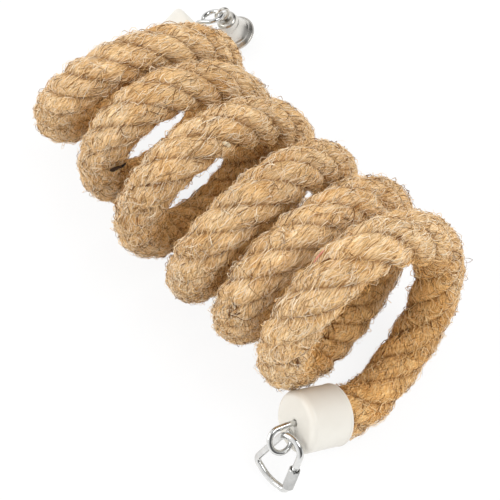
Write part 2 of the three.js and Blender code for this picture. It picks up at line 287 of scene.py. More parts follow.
def rope_end(turn, lead, floor_turns, leave_turns):
    """The mouth of a cap, how far the cap is turned, and the rope's line from the spiral into it."""
    floor = spiral(floor_turns)
    point = tipped(turn + math.pi / 2, CAP_TIP)
    mouth = np.array([floor[0] + lead[0], floor[1] + lead[1], MOUTH_HEIGHT])
    straight = mouth + point * (ROPE_IN_CAP - ROPE_D)
    leave = spiral(leave_turns)
    ahead = TURN_STEP * np.sign(floor_turns - leave_turns)
    heading = unit(spiral(leave_turns + ahead) - leave)
    knots = [leave, leave + heading * LEAD_BEND, straight - point * LEAD_BEND, straight]
    t = np.linspace(0, 1, LEAD_POINTS)[:, None]
    weights = [(1 - t) ** 3, 3 * t * (1 - t) ** 2, 3 * t * t * (1 - t), t ** 3]
    bend = sum(w * k for w, k in zip(weights, knots))
    tip = mouth + point * ROPE_IN_CAP
    return {"mouth": mouth, "turn": turn, "line": np.vstack([bend, tip])}


def evenly(points, step):
    """The same line with points an even step apart, and their distances along it."""
    lengths = np.linalg.norm(np.diff(points, axis=0), axis=1)
    run = np.concatenate([[0], np.cumsum(lengths)])
    places = np.linspace(0, run[-1], int(round(run[-1] / step)) + 1)
    return np.stack([np.interp(places, run, points[:, i]) for i in range(3)], -1), places


def frames(points, closed=False):
    """Tangent, side and upright of a line, turning no more than the line does."""
    tangent = unit(np.gradient(points, axis=0))
    if closed:
        tangent = unit(np.roll(points, -1, 0) - np.roll(points, 1, 0))
    side = np.zeros_like(points)
    first = np.cross(tangent[0], UP)
    if np.linalg.norm(first) < 0.1:
        first = np.cross(tangent[0], [1.0, 0.0, 0.0])
    side[0] = unit(first)
    for i in range(1, len(points)):
        carried = side[i - 1] - tangent[i] * (side[i - 1] @ tangent[i])
        side[i] = unit(carried)
    return tangent, side, np.cross(tangent, side)


hang_end = rope_end(HANG_TURN, HANG_LEAD, 0.0, LEAVE_TURN)
bell_end = rope_end(BELL_TURN, BELL_LEAD, float(TURNS), TURNS - LEAVE_TURN)
spiral_line = spiral(np.linspace(LEAVE_TURN, TURNS - LEAVE_TURN, SPIRAL_POINTS))
rough_line = np.vstack([hang_end["line"][::-1], spiral_line[1:-1], bell_end["line"]])
rope_line, rope_run = evenly(rough_line, RING_STEP)
rope_length = rope_run[-1]
_, rope_side, rope_up = frames(rope_line)


# Meshes


def make_piece(name, verts, faces, material, uv=None, smooth=True, values=None):
    """A mesh object from millimetres, with grain coordinates and named values for its shader if given."""
    mesh = bpy.data.meshes.new(name)
    mesh.from_pydata((np.asarray(verts) * MM).tolist(), [], [list(map(int, f)) for f in faces])
    if uv is not None:
        mesh.uv_layers.new(name="grain").data.foreach_set("uv", np.asarray(uv, np.float32).ravel())
    for label, value in (values or {}).items():
        layer = mesh.attributes.new(label, "FLOAT", "POINT")
        layer.data.foreach_set("value", np.asarray(value, np.float32))
    mesh.polygons.foreach_set("use_smooth", [smooth] * len(mesh.polygons))
    mesh.materials.append(material)
    mesh.update()
    obj = bpy.data.objects.new(name, mesh)
    bpy.context.scene.collection.objects.link(obj)
    return obj


def grid_faces(rows, columns, wrapped=False):
    """Faces of a grid of points whose columns go round, and its rows too if wrapped."""
    i = np.arange(rows if wrapped else rows - 1)[:, None] * columns
    after = (i + columns) % (rows * columns)
    j = np.arange(columns)[None]
    k = (j + 1) % columns
    return np.stack([i + j, i + k, after + k, after + j], -1).reshape(-1, 4)


def dress(piece, body, node):
    """Lets a rigid piece ride on a body and stand for one of its solids."""
    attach(piece, body)
    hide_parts(node)


def tube(points, radius, sides, closed=False):
    """A round bar along a line, with its ends closed, whose radius may change along it."""
    points = np.asarray(points, float)
    count = len(points)
    _, side, upright = frames(points, closed)
    radius = np.broadcast_to(np.asarray(radius, float), (count,))
    angle = round_angles(sides)
    ring = np.cos(angle)[None, :, None] * side[:, None] + np.sin(angle)[None, :, None] * upright[:, None]
    verts = (points[:, None] + ring * radius[:, None, None]).reshape(-1, 3)
    faces = grid_faces(count, sides, closed).tolist()
    if not closed:
        faces.append(list(range(sides))[::-1])
        faces.append([(count - 1) * sides + n for n in range(sides)])
    return verts, faces


def lathe(profile, sides):
    """A closed outline of (radius, height) turned about +Y."""
    profile = np.asarray(profile, float)
    angle = round_angles(sides)
    x = np.sin(angle)[:, None] * profile[None, :, 0]
    z = np.cos(angle)[:, None] * profile[None, :, 0]
    y = np.broadcast_to(profile[None, :, 1], x.shape)
    verts = np.stack([x, y, z], -1).reshape(-1, 3)
    return verts, grid_faces(sides, len(profile), True).tolist()


def ball(centre, radius, sides=24, bands=14):
    """A ball with its poles on Y."""
    polar = np.linspace(0, np.pi, bands + 1)[1:-1]
    angle = round_angles(sides)
    x = np.sin(polar)[:, None] * np.cos(angle)
    z = np.sin(polar)[:, None] * np.sin(angle)
    y = np.broadcast_to(np.cos(polar)[:, None], x.shape)
    body = np.stack([x, y, z], -1).reshape(-1, 3)
    verts = np.vstack([body, [[0, 1, 0], [0, -1, 0]]]) * radius + centre
    last = (bands - 2) * sides
    top, low = len(body), len(body) + 1
    faces = grid_faces(bands - 1, sides).tolist()
    for n in range(sides):
        m = (n + 1) % sides
        faces.append([n, top, m])
        faces.append([last + n, last + m, low])
    return verts, faces


def together(*parts):
    """Several sets of points and faces as one."""
    verts, faces, start = [], [], 0
    for part_verts, part_faces in parts:
        verts.append(part_verts)
        faces.extend([[start + n for n in f] for f in part_faces])
        start += len(part_verts)
    return np.vstack(verts), faces


def arc(centre, radius, start, end, count):
    """Points on an arc in a plane."""
    angle = np.linspace(start, end, count)
    return np.stack([centre[0] + radius * np.cos(angle), centre[1] + radius * np.sin(angle)], -1)


def placed(part, origin, x, y, z):
    """A part moved from its own axes to an origin and axes in the frame."""
    verts, faces = part
    return verts[:, :1] * x + verts[:, 1:2] * y + verts[:, 2:] * z + origin, faces


# Materials


class Shader:
    """A small helper that adds nodes and links to a material, or to the world."""

    def __init__(self, name, owners=bpy.data.materials):
        self.owner = owners.new(name)
        self.owner.use_nodes = True
        self.tree = self.owner.node_tree
        self.bsdf = self.tree.nodes.get("Principled BSDF")

    def fill(self, socket, source):
        """Links a socket to another one, or sets it to a number, a vector or a colour."""
        if isinstance(source, bpy.types.NodeSocket):
            self.link(source, socket)
        elif socket.type == "RGBA":
            socket.default_value = (*source, 1.0)
        else:
            socket.default_value = source

    def node(self, kind, inputs=None, **settings):
        node = self.tree.nodes.new(kind)
        for key, value in settings.items():
            setattr(node, key, value)
        for label, source in (inputs or {}).items():
            self.fill(node.inputs[label], source)
        return node

    def link(self, source, target):
        self.tree.links.new(source, target)

    def set(self, **values):
        for key, value in values.items():
            self.bsdf.inputs[key.replace("_", " ")].default_value = value

    def coords(self, scale=(1, 1, 1)):
        """Coordinates of the object, scaled."""
        place = self.node("ShaderNodeTexCoord").outputs["Object"]
        return self.node("ShaderNodeMapping", {"Vector": place, "Scale": scale}).outputs["Vector"]

    def grain(self, along, across, skew=0.0, swirl=None):
        """Coordinates along and across the yarns, scaled, turned by a skew and bent by a swirl."""
        uv = self.node("ShaderNodeUVMap", uv_map="grain").outputs["UV"]
        split = self.node("ShaderNodeSeparateXYZ", {0: uv}).outputs
        v = self.maths("ADD", split["Y"], self.maths("MULTIPLY", split["X"], skew))
        if swirl:
            v = self.maths("ADD", v, swirl)
        inputs = {"X": self.maths("MULTIPLY", split["X"], along), "Y": self.maths("MULTIPLY", v, across)}
        return self.node("ShaderNodeCombineXYZ", inputs).outputs[0]

    def noise(self, vector, scale, detail=3.0, roughness=0.55):
        inputs = {"Vector": vector, "Scale": scale, "Detail": detail, "Roughness": roughness}
        return self.node("ShaderNodeTexNoise", inputs).outputs["Fac"]

    def value(self, label):
        return self.node("ShaderNodeAttribute", attribute_name=label).outputs["Fac"]

    def ramp(self, source, *stops):
        node = self.node("ShaderNodeValToRGB", {"Fac": source})
        while len(node.color_ramp.elements) < len(stops):
            node.color_ramp.elements.new(0.5)
        for element, (place, colour) in zip(node.color_ramp.elements, stops):
            element.position = place
            element.color = (*colour, 1.0)
        return node.outputs["Color"]

    def mix(self, share, first, second, blend="MIX"):
        inputs = {0: share, 6: first, 7: second}
        return self.node("ShaderNodeMix", inputs, data_type="RGBA", blend_type=blend).outputs[2]

    def maths(self, operation, first, second):
        return self.node("ShaderNodeMath", {0: first, 1: second}, operation=operation).outputs[0]

    def span(self, source, low, high):
        inputs = {"Value": source, "To Min": low, "To Max": high}
        return self.node("ShaderNodeMapRange", inputs).outputs["Result"]

    def bump(self, height, strength, distance):
        node = self.node("ShaderNodeBump", {"Height": height, "Strength": strength, "Distance": distance})
        self.link(node.outputs["Normal"], self.bsdf.inputs["Normal"])


JUTE_DARK = (0.170, 0.050, 0.006)
JUTE_BROWN = (0.61, 0.285, 0.078)
JUTE_TAN = (0.91, 0.60, 0.28)
JUTE_STRAW = (0.98, 0.82, 0.58)
# Painted warm shade for surfaces facing the middle of the spiral
JUTE_INSIDE_PAINTED_SHADE = (1.0, 0.88, 0.66)
# Painted shade in the seams between yarns
SEAM_SHADE_BROWN = (0.44, 0.27, 0.13)
SEAM_SHADE_EDGE = (0.95, 0.92, 0.88)
PATCH_BROWN = (0.84, 0.72, 0.56)
PATCH_CREAM = (1.0, 0.99, 0.96)
FINE_SHARE = 0.6
TANGLE_SHARE = 0.34
# How much of the painted seam shade is used, varying in patches
SEAM_SHADE_SHARE = 0.85
# Painted shade in the grooves between strands
GROOVE_SHADE_SHARE = 0.62
GROOVE_SHADE_POWER = 3.0
SWIRL = 0.0022
PILLOW_HEIGHT = 0.45


def jute_material():
    """Laid yarns with fibres along and across them, painted shade in the seams between yarns and in the
    grooves, and a painted warm shade inside the spiral.
    """
    s = Shader("laid_jute")
    s.set(Roughness=0.9, Specular_IOR_Level=0.1)
    wander = s.noise(s.grain(70, 160), 1.0, 3.0)
    swirl = s.span(wander, -SWIRL, SWIRL)
    yarns = s.noise(s.grain(60, 560, 0.0, swirl), 1.0, 3.0, 0.6)
    laid = s.noise(s.grain(150, 1500, 0.22, swirl), 1.0, 3.0, 0.65)
    crossed = s.noise(s.grain(170, 1250, -0.55, swirl), 1.0, 3.0, 0.65)
    patches = s.noise(s.coords(), 40.0, 4.0, 0.6)
    across = s.node("ShaderNodeSeparateXYZ", {0: s.grain(1, 1 / (YARN_W * MM), 0.0, swirl)}).outputs["Y"]
    pillow = s.maths("MULTIPLY", s.maths("PINGPONG", across, 0.5), 2.0)
    colour = s.ramp(yarns, (0.32, JUTE_BROWN), (0.48, JUTE_TAN), (0.66, JUTE_STRAW))
    fine = s.ramp(laid, (0.38, JUTE_DARK), (0.48, JUTE_TAN), (0.58, JUTE_STRAW))
    colour = s.mix(FINE_SHARE, colour, fine)
    tangle = s.ramp(crossed, (0.40, JUTE_DARK), (0.51, JUTE_TAN), (0.60, JUTE_STRAW))
    colour = s.mix(TANGLE_SHARE, colour, tangle)
    # Painted shade: each yarn darkens towards brown at its edges
    seam_shade = s.ramp(pillow, (0.0, SEAM_SHADE_BROWN), (0.30, SEAM_SHADE_EDGE), (0.5, WHITE))
    colour = s.mix(s.span(patches, 0.0, SEAM_SHADE_SHARE), colour, seam_shade, "MULTIPLY")
    tint = s.ramp(patches, (0.34, PATCH_BROWN), (0.52, WHITE), (0.68, PATCH_CREAM))
    colour = s.mix(1.0, colour, tint, "MULTIPLY")
    # Painted warm shade on surfaces facing the middle of the spiral
    colour = s.mix(s.value("inside"), colour, s.mix(1.0, colour, JUTE_INSIDE_PAINTED_SHADE, "MULTIPLY"))
    # Painted shade: the grooves between strands darken towards JUTE_DARK
    groove = s.maths("POWER", s.value("groove"), GROOVE_SHADE_POWER)
    colour = s.mix(s.maths("MULTIPLY", groove, GROOVE_SHADE_SHARE), colour, JUTE_DARK)
    s.link(colour, s.bsdf.inputs["Base Color"])
    rounded = s.maths("MULTIPLY", s.maths("SQRT", pillow, 0.0), PILLOW_HEIGHT)
    s.bump(s.maths("ADD", s.maths("ADD", laid, crossed), rounded), 1.0, 0.0008)
    return s.owner


def fibre_material(name, dark, mid, pale):
    """Single hairs, each of its own shade, with a painted warm shade on those facing the middle of the
    spiral.
    """
    s = Shader(name)
    s.set(Roughness=0.8, Specular_IOR_Level=0.1)
    shade = s.ramp(s.value("shade"), (0.0, dark), (0.26, mid), (0.75, pale))
    # Painted warm shade on fibres facing the middle of the spiral
    shade = s.mix(s.value("inside"), shade, s.mix(1.0, shade, JUTE_INSIDE_PAINTED_SHADE, "MULTIPLY"))
    streaks = s.noise(s.coords(), 420.0, 2.0)
    tint = s.ramp(streaks, (0.3, (0.85, 0.8, 0.74)), (0.7, WHITE))
    s.link(s.mix(1.0, shade, tint, "MULTIPLY"), s.bsdf.inputs["Base Color"])
    return s.owner


def ivory_material():
    """Moulded plastic with a faint cloud and a fine uneven gloss."""
    s = Shader("ivory_plastic")
    s.set(Specular_IOR_Level=0.45, Coat_Weight=0.1, Coat_Roughness=0.2)
    cloud = s.noise(s.coords(), 55.0, 3.0)
    fine = s.noise(s.coords(), 900.0, 2.0)
    colour = s.ramp(cloud, (0.25, (0.665, 0.636, 0.572)), (0.75, (0.715, 0.690, 0.630)))
    s.link(colour, s.bsdf.inputs["Base Color"])
    s.link(s.span(fine, 0.30, 0.44), s.bsdf.inputs["Roughness"])
    s.bump(s.maths("ADD", fine, cloud), 0.10, 0.0002)
    return s.owner


def metal_material(name, low, high, rough):
    """Plated or plain metal, clouded, with fine scratches."""
    s = Shader(name)
    s.set(Metallic=1.0)
    cloud = s.noise(s.coords(), 160.0, 4.0)
    scratch = s.noise(s.coords((1, 1, 0.12)), 2600.0, 2.0)
    s.link(s.ramp(cloud, (0.3, low), (0.7, high)), s.bsdf.inputs["Base Color"])
    s.link(s.span(cloud, rough * 0.7, rough * 1.4), s.bsdf.inputs["Roughness"])
    s.bump(scratch, 0.10, 0.0001)
    return s.owner


jute = jute_material()
fuzz = fibre_material("loose_jute", (0.15, 0.046, 0.006), (0.95, 0.64, 0.295), (0.99, 0.87, 0.68))
ivory = ivory_material()
zinc = metal_material("bright_zinc", (0.56, 0.56, 0.55), (0.76, 0.76, 0.745), 0.13)
bell_metal = metal_material("bell_plate", (0.58, 0.555, 0.51), (0.72, 0.695, 0.645), 0.27)
# Darker copy of the zinc for the sleeve: painted dark reflection
sleeve_zinc_painted_dark = metal_material("sleeve_zinc_painted_dark", (0.36, 0.36, 0.355), (0.54, 0.54, 0.53), 0.18)
plain_steel = metal_material("plain_steel", (0.36, 0.36, 0.37), (0.50, 0.50, 0.51), 0.38)


# Camera at the photo's viewpoint
CAMERA_AT = (0.20008, -0.16371, 0.46427)
CAMERA_RIGHT = (0.63238, 0.77462, 0.00648)
CAMERA_UP = (-0.67850, 0.54980, 0.48716)
CAMERA_BACK = (0.37382, -0.31250, 0.87328)
CAMERA_SENSOR = 36.0
CAMERA_LENS = 63.95
camera_data = bpy.data.cameras.new("photo_view")
camera_data.sensor_width = CAMERA_SENSOR
camera_data.lens = CAMERA_LENS
camera = bpy.data.objects.new("photo_view", camera_data)
axes = Matrix((CAMERA_RIGHT, CAMERA_UP, CAMERA_BACK)).transposed().to_4x4()
camera.matrix_world = Matrix.Translation(CAMERA_AT) @ axes
bpy.context.scene.collection.objects.link(camera)
bpy.context.scene.camera = camera


# Rope


def waves(s, lengths, sizes, count):
    """A few slow waves along the rope, a different set for each of count rows."""
    total = np.zeros((count, len(s)))
    for length, size in zip(lengths, sizes):
        phase = rng.uniform(0, 2 * np.pi, count)[:, None]
        stretch = rng.uniform(0.85, 1.2, count)[:, None]
        total += size * np.sin(2 * np.pi * s[None] / (length * stretch) + phase)
    return total


SPIRAL_MIDDLE = np.array([0.0, 0.0, rope_line[:, 2].mean()])
SWELL_LENGTHS = (37, 83, 19)
SWELL_SIZES = (0.018, 0.022, 0.010)
SWELL = waves(rope_run, SWELL_LENGTHS, SWELL_SIZES, STRANDS)
near_share = 1 - smoothstep((rope_run - NEAR_LAY_RUN[0]) / (NEAR_LAY_RUN[1] - NEAR_LAY_RUN[0]))
LAY_TURN = np.cumsum(2 * np.pi * RING_STEP / (LAY + (NEAR_LAY - LAY) * near_share))


def lay_turn(s):
    """How far the strands have turned round the rope at a distance along it."""
    return np.interp(s, rope_run, LAY_TURN)


def lobe(phi):
    """Outer radius of the strands at an angle that turns with them."""
    off = (phi + SECTOR / 2) % SECTOR - SECTOR / 2
    return LOBE_CENTRE * np.cos(off) + np.sqrt(LOBE_R ** 2 - (LOBE_CENTRE * np.sin(off)) ** 2)


def above_floor(points):
    """Points eased up where they would sink into the floor."""
    low = points[..., 2] < FLOOR_SOFT
    points[..., 2][low] = FLOOR_SOFT * np.exp((points[..., 2][low] - FLOOR_SOFT) / FLOOR_SOFT)
    return points


def on_rope(s, theta, radius):
    """Points at a distance along the rope, an angle round it and a radius."""
    def at(rows):
        return np.stack([np.interp(s, rope_run, rows[:, i]) for i in range(3)], -1)
    around = np.cos(theta)[..., None] * at(rope_side) + np.sin(theta)[..., None] * at(rope_up)
    return above_floor(at(rope_line) + around * radius[..., None])


def in_caps(s):
    """1 inside a cap, easing to 0 just outside its mouth."""
    from_end = np.minimum(s, rope_length - s)
    return 1 - smoothstep((from_end - ROPE_IN_CAP) / MOUTH_EASE)


def at_mouths(s):
    """1 just outside a cap's mouth, where the strands spread, easing to 0 both ways."""
    from_mouth = np.minimum(s, rope_length - s) - ROPE_IN_CAP
    past = (from_mouth - MOUTH_SWELL_AT) / (MOUTH_SWELL_END - MOUTH_SWELL_AT)
    return smoothstep(from_mouth / MOUTH_SWELL_AT) * (1 - smoothstep(past))


def width_at(s):
    """How wide the rope is against its usual width: less in the caps, more at their mouths."""
    return 1 - SQUEEZE_IN_CAP * in_caps(s) + MOUTH_SWELL * at_mouths(s)


def painted_shade_facing_in(s, theta):
    """1 where the rope faces the middle of the spiral, where it gets a painted warm shade, and 0 outside."""
    inner = on_rope(s, theta, np.full(s.shape, ROPE_R - 1.0))
    outward = unit(on_rope(s, theta, np.full(s.shape, ROPE_R)) - inner)
    to_middle = unit((SPIRAL_MIDDLE - inner) * (0.0, 1.0, 1.0))
    return smoothstep(((outward * to_middle).sum(-1) - FACING_FROM) / (FACING_TO - FACING_FROM))


def worn_at(s, theta):
    """1 on the front tips of the loops, where the rope is rubbed and its fibres are matted, easing to 0."""
    forward = -on_rope(s, theta, np.full(s.shape, ROPE_R))[..., 1]
    worn = smoothstep((forward - WORN_FROM) / (WORN_FULL - WORN_FROM))
    return worn * smoothstep((s - WORN_PAST_LEAD) / WORN_PAST_LEAD)


def strand_radius(s, theta):
    """Outer radius of the strands: their lobes, rounder where they are worn, at the rope's width there."""
    worn = WORN_ROUND * worn_at(s, theta)
    return (lobe(theta - lay_turn(s)) * (1 - worn) + WORN_R * worn) * width_at(s)


def groove_at(s, theta):
    """0 on the back of a strand and 1 in the groove between two, less where they are worn."""
    depth = (ROPE_R - lobe(theta - lay_turn(s))) / (ROPE_R - lobe(np.array(SECTOR / 2)))
    return depth * (1 - WORN_ROUND * worn_at(s, theta))


YARN_PROUD = rng.uniform(*YARN_PROUD_RANGE, YARN_NUMBERS)
WANDER_LENGTHS = (61.0, 33.0, 17.0)
WANDER_TURNS = (1.0, 2.0, 3.0)
WANDER_SIZES = (1.5, 1.0, 0.6)
WANDER_PHASES = rng.uniform(0, 2 * np.pi, 3)


def yarn_wander(s, phi):
    """How far the yarns stray sideways from their even lay, in millimetres."""
    total = 0
    for length, turns, size, phase in zip(WANDER_LENGTHS, WANDER_TURNS, WANDER_SIZES, WANDER_PHASES):
        total = total + size * np.sin(2 * np.pi * s / length + turns * phi + phase)
    return total


def rope_piece():
    """The laid rope as one closed piece, and the ring that each of its points is on."""
    rings = len(rope_run)
    columns = STRANDS * STRAND_COLUMNS
    phi = np.arange(columns + 1) * 2 * np.pi / columns - SECTOR / 2
    strand = np.minimum(np.arange(columns + 1) // STRAND_COLUMNS, STRANDS - 1)
    theta = phi[None] + LAY_TURN[:, None]
    base = strand_radius(np.broadcast_to(rope_run[:, None], theta.shape), theta) * (1 + SWELL[strand].T)
    own = theta * ROPE_R - rope_run[:, None] * math.tan(YARN_TILT) + yarn_wander(rope_run[:, None], phi[None])
    yarn = (own + STRAND_STEP * strand[None]) / YARN_W
    number = np.floor(yarn).astype(int)
    place = 2 * (yarn - number) - 1
    base = base + YARN_RISE * YARN_PROUD[number % len(YARN_PROUD)] * (np.sqrt(1 - place ** 2) - 0.5)
    along = np.broadcast_to(rope_run[:, None], base.shape)[:, :-1]
    theta = theta[:, :-1]
    # Masks for painted shade: the grooves, and the warm shade on surfaces facing the middle of the spiral
    values = {"groove": groove_at(along, theta).ravel(), "inside": painted_shade_facing_in(along, theta).ravel()}
    verts = on_rope(along, theta, base[:, :-1])
    faces = np.roll(grid_faces(rings, columns), -1, 1).tolist()
    low = own[:, :-1] + STRAND_STEP * strand[None, :-1]
    high = own[:, 1:] + STRAND_STEP * strand[None, :-1]
    run = np.broadcast_to(rope_run[:, None], low.shape)
    corners = [(run[:-1], high[:-1]), (run[1:], high[1:]), (run[1:], low[1:]), (run[:-1], low[:-1])]
    uv = np.stack([np.stack(c, -1) for c in corners], 2).reshape(-1, 2) * MM
    faces.append(list(range(columns)))
    faces.append([(rings - 1) * columns + n for n in range(columns)][::-1])
    uv = np.vstack([uv, np.zeros((2 * columns, 2))])
    piece = make_piece("jute_rope", verts.reshape(-1, 3), faces, jute, uv, values=values)
    return piece, np.repeat(np.arange(rings), columns)


def fibre_tubes(name, lines, radius, looks, material):
    """Many thin fibres as one piece; lines is fibres by points by three."""
    count, points = lines.shape[:2]
    sides = FIBRE_SIDES
    along = unit(np.gradient(lines, axis=1))
    side = unit(np.cross(along, rng.normal(size=(count, 1, 3))))
    upright = np.cross(along, side)
    angle = round_angles(sides)
    taper = np.sqrt(np.clip(1 - (2 * np.linspace(0.02, 0.98, points) - 1) ** 4, 0, 1))
    size = radius[:, None] * taper[None]
    ring = np.cos(angle)[:, None] * side[:, :, None] + np.sin(angle)[:, None] * upright[:, :, None]
    verts = (lines[:, :, None] + ring * size[:, :, None, None]).reshape(-1, 3)
    head = np.arange(count) * points * sides
    faces = (grid_faces(points, sides)[None] + head[:, None, None]).reshape(-1, 4).tolist()
    faces.extend(np.stack([head + 2, head + 1, head], -1).tolist())
    tail = head + (points - 1) * sides
    faces.extend(np.stack([tail, tail + 1, tail + 2], -1).tolist())
    values = {label: np.repeat(row, points * sides) for label, row in looks.items()}
    return make_piece(name, verts, faces, material, values=values)


def fibre_lines(count, length, angle_mean, angle_spread, curl, lift, only_worn):
    """Fibres on the rope outside its caps, how far along it their points are, and their masks for painted
    shade facing the spiral's middle and in the grooves.
    """
    margin = ROPE_IN_CAP + FIBRE_FROM_CAP
    t = np.linspace(0, 1, FIBRE_POINTS)[None]
    start = rng.uniform(margin, rope_length - margin, count)
    round_ = rng.uniform(0, 2 * np.pi, count)
    if only_worn:
        kept = rng.random(count) < worn_at(start, round_)
        start, round_ = start[kept], round_[kept]
        count = len(start)
    start, round_ = start[:, None], round_[:, None]
    heading = rng.normal(angle_mean, angle_spread, count)[:, None]
    flip = rng.choice([-1.0, 1.0], count)[:, None]
    curl = rng.normal(0, curl, count)[:, None]
    reach = rng.uniform(*length, count)[:, None]
    bent = heading + curl * t
    s = start + np.cumsum(np.cos(bent) * reach / FIBRE_POINTS, 1) * flip
    s = np.clip(s, margin, rope_length - margin)
    theta = round_ + np.cumsum(np.sin(bent) * reach / FIBRE_POINTS, 1) * flip / ROPE_R
    radius = strand_radius(s, theta) + lift(count, t)
    middle = s[:, FIBRE_POINTS // 2], theta[:, FIBRE_POINTS // 2]
    return on_rope(s, theta, radius), s, painted_shade_facing_in(*middle), groove_at(*middle)


def laid_lift(count, t):
    """Height over the strands of fibres with both ends down."""
    height = rng.gamma(*LAID_RISE, count)[:, None]
    return LAID_FOOT + height * np.sin(np.pi * t)


def matted_lift(count, t):
    """The same for matted fibres, highest nearer their start."""
    height = rng.gamma(*MATTED_RISE, count)[:, None]
    return MATTED_FOOT + height * np.sin(np.pi * t ** MATTED_PEAK)


def stray_lift(count, t):
    """The same for fibres with one end in the air."""
    height = np.minimum(rng.gamma(*STRAY_RISE, count), STRAY_RISE_MOST)[:, None]
    return STRAY_FOOT + height * t ** rng.uniform(*STRAY_SWEEP, count)[:, None]


def follow_stretch(piece):
    """Bakes a piece's placement into its points."""
    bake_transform(piece)


rope, ring_of_vert = rope_piece()
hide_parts("rope")
follow_stretch(rope)

CORE_STEP = 4.0
CORE_SIDES = 10
core_line, core_run = evenly(rough_line, CORE_STEP)
core = make_piece("core_wire_soft", *tube(core_line, CORE_D / 2, CORE_SIDES), plain_steel)
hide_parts("core_wire")
follow_stretch(core)

# Kinds of fibre: name, count, length, heading and its spread, curl, lift, radius, dark share, worn tips only
FIBRE_KINDS = (
    ("laid_fibres", LAID_FIBRES, (4, 12), YARN_TILT, 0.40, 0.6, laid_lift, (0.12, 0.25), DARK_FIBRES, False),
    ("bent_fibres", BENT_FIBRES, (3, 9), YARN_TILT, 0.55, 0.7, laid_lift, (0.10, 0.20), DARK_FIBRES, False),
    ("matted_fibres", MATTED_FIBRES, (3, 10), 0.2, 1.2, 1.1, matted_lift, (0.08, 0.15), DARK_FIBRES, False),
    ("felted_fibres", FELTED_TRIED, (5, 13), 0.4, 1.3, 1.8, matted_lift, (0.08, 0.16), DARK_FIBRES, True),
    ("stray_fibres", STRAY_FIBRES, (4, 13), 0.2, 1.4, 0.8, stray_lift, (0.05, 0.09), DARK_STRAYS, False),
)
for name, count, length, heading, spread, curl, lift, radius, dark_share, only_worn in FIBRE_KINDS:
    for lot in range(FIBRE_LOTS):
        lines, run, inside, groove = fibre_lines(count, length, heading, spread, curl, lift, only_worn)
        made = len(lines)
        dark = rng.uniform(*DARK_HAIR, made)
        light = rng.uniform(*LIGHT_HAIR, made)
        shade = np.where(rng.random(made) < dark_share, dark, light)
        # Painted shade: fibres facing the middle of the spiral and fibres in the grooves are darker
        shade = shade * (1 - INSIDE_PAINTED_SHADE * inside) * (1 - GROOVE_PAINTED_SHADE * groove)
        looks = {"shade": shade, "inside": inside}
        piece = fibre_tubes(f"{name}_{lot + 1}", lines, rng.uniform(*radius, made), looks, fuzz)
        follow_stretch(piece)

# Bits of chaff caught in the rope: place along and round it, length, width, heading and tone
CHAFF = (
    (1425.3, 2.33, 6.5, 4.5, 1.2, 0.05),
    (1424.5, 1.95, 6.0, 2.6, 1.5, 0.0),
    (1084.5, -2.76, 6.5, 2.6, 0.97, 1.0),
    (230.0, 1.80, 7.0, 1.0, 0.3, 0.6),
    (568.0, -0.33, 5.0, 1.3, 0.7, 0.25),
    (565.0, -0.10, 3.5, 0.9, 1.9, 0.2),
    (571.0, -0.15, 4.0, 0.8, 2.5, 0.3),
    (277.0, -0.45, 6.5, 1.2, -0.2, 0.3),
    (343.0, -0.88, 4.5, 1.0, 0.4, 0.25),
    (1124.0, -1.83, 3.0, 1.0, 0.5, 0.3),
)
CHAFF_THICK = 0.8
CHAFF_LIFT = 0.7
CHAFF_POINTS = 9
CHAFF_SIDES = 10
CHAFF_TAPER = 1.96
HUSK = (0.030, 0.020, 0.012)
BARK = (0.16, 0.07, 0.022)
PINK_FLECK = (0.74, 0.27, 0.21)
STRAW_CHIP = (0.94, 0.84, 0.62)


def chaff_material():
    s = Shader("chaff")
    s.set(Roughness=0.75, Specular_IOR_Level=0.3)
    tone = s.ramp(s.value("tone"), (0.0, HUSK), (0.3, BARK), (0.6, PINK_FLECK), (1.0, STRAW_CHIP))
    grain = s.noise(s.coords(), 900.0, 3.0)
    shade = s.ramp(grain, (0.3, (0.55, 0.5, 0.45)), (0.7, WHITE))
    s.link(s.mix(1.0, tone, shade, "MULTIPLY"), s.bsdf.inputs["Base Color"])
    s.bump(grain, 0.3, 0.0003)
    return s.owner


def chaff_piece():
    """Flat bits that taper at both ends, and how far along the rope their points are."""
    t = np.linspace(-0.5, 0.5, CHAFF_POINTS)
    angle = round_angles(CHAFF_SIDES)
    verts, faces, tones, runs = [], [], [], []
    for place, turn, length, width, heading, tone in CHAFF:
        s = place + length * t * math.cos(heading)
        theta = turn + length * t * math.sin(heading) / ROPE_R
        base = strand_radius(s, theta) + CHAFF_LIFT
        line = on_rope(s, theta, base)
        outward = unit(on_rope(s, theta, base + 1.0) - line)
        side = unit(np.cross(np.gradient(line, axis=0), outward))
        taper = np.sqrt(1 - (CHAFF_TAPER * t) ** 2)[:, None, None]
        ring = np.cos(angle)[:, None] * side[:, None] * width / 2
        ring = ring + np.sin(angle)[:, None] * outward[:, None] * CHAFF_THICK / 2
        start = len(runs)
        verts.append((line[:, None] + ring * taper).reshape(-1, 3))
        runs.extend(np.repeat(s, CHAFF_SIDES))
        tones.extend([tone] * CHAFF_POINTS * CHAFF_SIDES)
        faces.extend((start + grid_faces(CHAFF_POINTS, CHAFF_SIDES)).tolist())
        faces.append([start + j for j in range(CHAFF_SIDES)][::-1])
        faces.append([start + (CHAFF_POINTS - 1) * CHAFF_SIDES + j for j in range(CHAFF_SIDES)])
    piece = make_piece("chaff", np.vstack(verts), faces, chaff_material(), values={"tone": tones})
    return piece, np.array(runs)


chaff, chaff_run = chaff_piece()
follow_stretch(chaff)


# Caps and eyes


def end_axes(side):
    """Origin and axes of a cap, its mouth at the origin and its face towards +Y."""
    x = np.array([math.cos(side["turn"]), math.sin(side["turn"]), 0.0])
    y = tipped(side["turn"] + math.pi / 2, CAP_TIP)
    return side["mouth"], x, y, np.cross(x, y)


